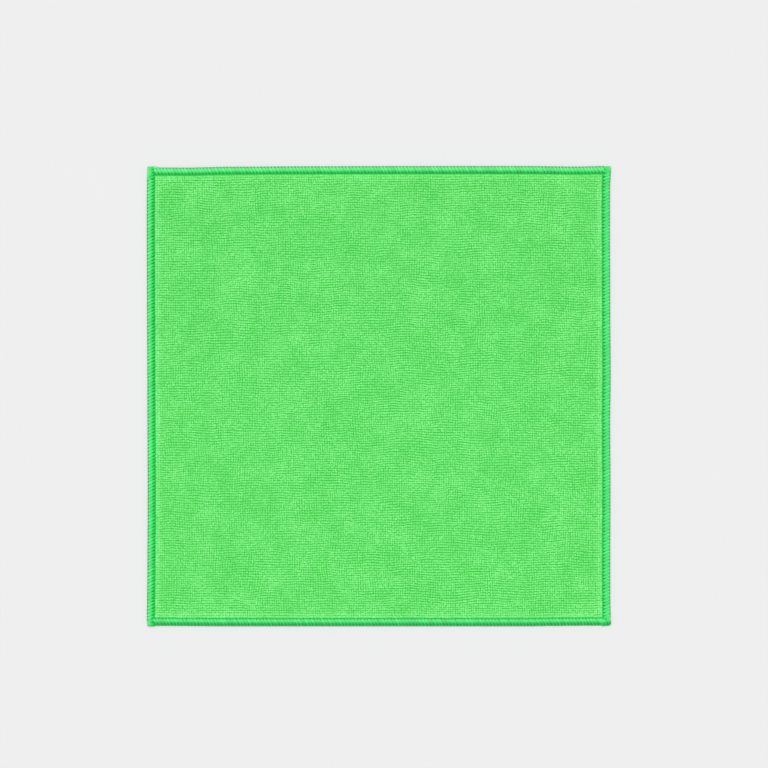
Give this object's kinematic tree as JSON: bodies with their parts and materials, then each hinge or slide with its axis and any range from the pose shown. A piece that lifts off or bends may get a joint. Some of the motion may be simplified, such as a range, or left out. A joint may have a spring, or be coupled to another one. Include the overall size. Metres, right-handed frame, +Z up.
{
  "type": "microfibre cloth",
  "caption": "Square flat terry cleaning cloth with a raised overlocked seam along every edge, for wiping and drying.",
  "frame": {"origin": "under the middle of the cloth, on the underside that it lies on", "axes": "+Z up out of the upper face, +Y towards the top edge as the cloth is looked down on, +X towards its right edge"},
  "size_m": [0.4011, 0.3974, 0.003],
  "materials": {
    "terry": "short dense warp-knit terry pile, matt, with a faint change of tone where the pile lies over",
    "seam_thread": "textured polyester overlock thread, softly lustrous, a little bluer than the cloth"
  },
  "bodies": {
    "root": {"cloth_panel": "terry", "overlock_top": "seam_thread", "overlock_bottom": "seam_thread", "overlock_left": "seam_thread", "overlock_right": "seam_thread"}
  },
  "joints": []
}
